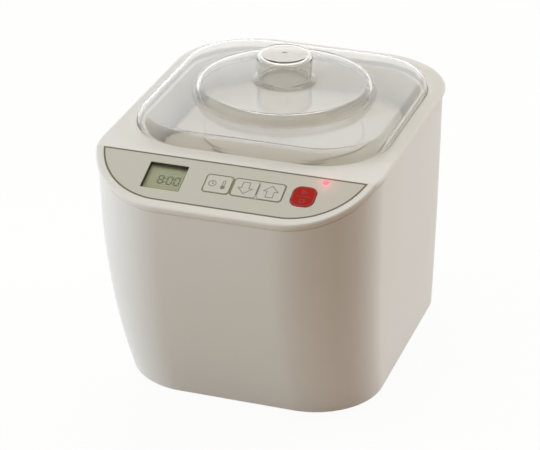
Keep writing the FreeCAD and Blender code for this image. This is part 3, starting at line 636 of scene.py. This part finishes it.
knob_height = knob_nodes.new("ShaderNodeSeparateXYZ")
above_weld = knob_nodes.new("ShaderNodeMath")
weld_tolerance = 0.00003
above_weld.operation = "GREATER_THAN"
above_weld.inputs[1].default_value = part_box("lid_knob")[0].z + weld_tolerance
knob_links.new(knob_place.outputs["Object"], knob_height.inputs["Vector"])
knob_links.new(knob_height.outputs["Z"], above_weld.inputs[0])
knob_links.new(above_weld.outputs["Value"], knob_shader.inputs["Alpha"])
finish_node("lid_knob", knob_clear)


# Floor and studio light: a pale sheet under the machine and six large soft boxes round it, four of
# them kept out of reflections. Floor and background are plain white to the eye and to mirrors and
# glass, and the background lights the scene only a little.
def seen_ray(nodes, links):
    """One for rays from the camera, from mirrors and through glass, and nought for all others."""
    path = nodes.new("ShaderNodeLightPath")
    eye_or_mirror = nodes.new("ShaderNodeMath")
    eye_or_mirror.operation = "MAXIMUM"
    links.new(path.outputs["Is Camera Ray"], eye_or_mirror.inputs[0])
    links.new(path.outputs["Is Glossy Ray"], eye_or_mirror.inputs[1])
    or_glass = nodes.new("ShaderNodeMath")
    or_glass.operation = "MAXIMUM"
    links.new(eye_or_mirror.outputs["Value"], or_glass.inputs[0])
    links.new(path.outputs["Is Transmission Ray"], or_glass.inputs[1])
    return or_glass.outputs["Value"]


bpy.ops.object.select_all(action="DESELECT")
bpy.ops.mesh.primitive_plane_add(size=12)
floor = bpy.context.object
floor.name = "floor"
floor_paper = new_finish("floor_paper")
floor_nodes = floor_paper.node_tree.nodes
floor_links = floor_paper.node_tree.links
paper_clouds = object_noise(floor_paper, scale=3.0, detail=2.0)
colour_drift(floor_paper, paper_clouds, (0.50, 0.465, 0.415), spread=0.01)
shader_of(floor_paper).inputs["Roughness"].default_value = 0.9
floor_glow = floor_nodes.new("ShaderNodeEmission")
floor_glow.inputs["Color"].default_value = (1.0, 1.0, 1.0, 1.0)
floor_glow.inputs["Strength"].default_value = 1.07
glow_share = 0.88
floor_seen = floor_nodes.new("ShaderNodeMath")
floor_seen.operation = "MULTIPLY"
floor_seen.inputs[1].default_value = glow_share
floor_mix = floor_nodes.new("ShaderNodeMixShader")
floor_links.new(seen_ray(floor_nodes, floor_links), floor_seen.inputs[0])
floor_links.new(floor_seen.outputs["Value"], floor_mix.inputs["Fac"])
floor_links.new(shader_of(floor_paper).outputs["BSDF"], floor_mix.inputs[1])
floor_links.new(floor_glow.outputs["Emission"], floor_mix.inputs[2])
floor_links.new(floor_mix.outputs["Shader"], floor_nodes["Material Output"].inputs["Surface"])
floor.data.materials.append(floor_paper)

world = bpy.data.worlds.new("studio")
bpy.context.scene.world = world
world.use_nodes = True
sky_nodes = world.node_tree.nodes
sky_links = world.node_tree.links
sky_strength = sky_nodes.new("ShaderNodeMapRange")
sky_strength.inputs["To Min"].default_value = 0.09
sky_strength.inputs["To Max"].default_value = 1.0
sky_links.new(seen_ray(sky_nodes, sky_links), sky_strength.inputs["Value"])
sky_links.new(sky_strength.outputs["Result"], sky_nodes["Background"].inputs["Strength"])
sky_nodes["Background"].inputs["Color"].default_value = (1.0, 1.0, 1.0, 1.0)


def soft_box(name, place, size, power, colour, mirrored):
    """Square studio light, turned to the middle of the machine, and shown in reflections or not."""
    machine_middle = Vector((0, 0, 0.12))
    lamp = bpy.data.lights.new(name, "AREA")
    lamp.shape = "SQUARE"
    lamp.size = size
    lamp.energy = power
    lamp.color = colour
    holder = bpy.data.objects.new(name, lamp)
    bpy.context.scene.collection.objects.link(holder)
    holder.visible_glossy = mirrored
    holder.visible_transmission = mirrored
    holder.location = place
    holder.rotation_euler = (machine_middle - Vector(place)).to_track_quat("-Z", "Y").to_euler()


soft_box("left_box", (-1.75, -0.55, 0.75), size=1.0,
         power=23.5, colour=(0.81, 0.85, 1.0), mirrored=False)
soft_box("front_left_box", (-1.1, -1.5, 0.9), size=1.0,
         power=8.4, colour=(0.84, 0.98, 1.0), mirrored=False)
soft_box("front_right_box", (1.2, -1.5, 0.35), size=1.0,
         power=4.0, colour=(1.0, 0.42, 0.10), mirrored=False)
soft_box("right_box", (1.3, 1.3, 0.75), size=1.0,
         power=20.5, colour=(0.94, 0.96, 1.0), mirrored=False)
soft_box("back_box", (-0.95, 1.85, 1.0), size=2.2,
         power=6.5, colour=(1.0, 1.0, 1.0), mirrored=True)
soft_box("top_box", (0.0, 0.2, 1.9), size=1.4,
         power=12.5, colour=(1.0, 0.97, 0.92), mirrored=True)


# Camera: stands in front to the right and above, far off with a long lens, as for the photograph.
# The aim lies a little beside the middle of the machine.
view_azimuth = math.radians(18.755)
view_elevation = math.radians(26.585)
view_distance = 2.0607
view_aim = Vector((-0.0056, 0.0008, 0.1205))
towards = Vector((math.sin(view_azimuth) * math.cos(view_elevation),
                  -math.cos(view_azimuth) * math.cos(view_elevation), math.sin(view_elevation)))
camera = bpy.data.objects.new("camera", bpy.data.cameras.new("camera"))
bpy.context.scene.collection.objects.link(camera)
camera.data.lens = 155.5
camera.data.sensor_width = 36.0
camera.data.clip_end = 30.0
camera.location = view_aim + towards * view_distance
camera.rotation_euler = (-towards).to_track_quat("-Z", "Y").to_euler()
bpy.context.scene.camera = camera
bpy.context.scene.view_settings.view_transform = "Standard"
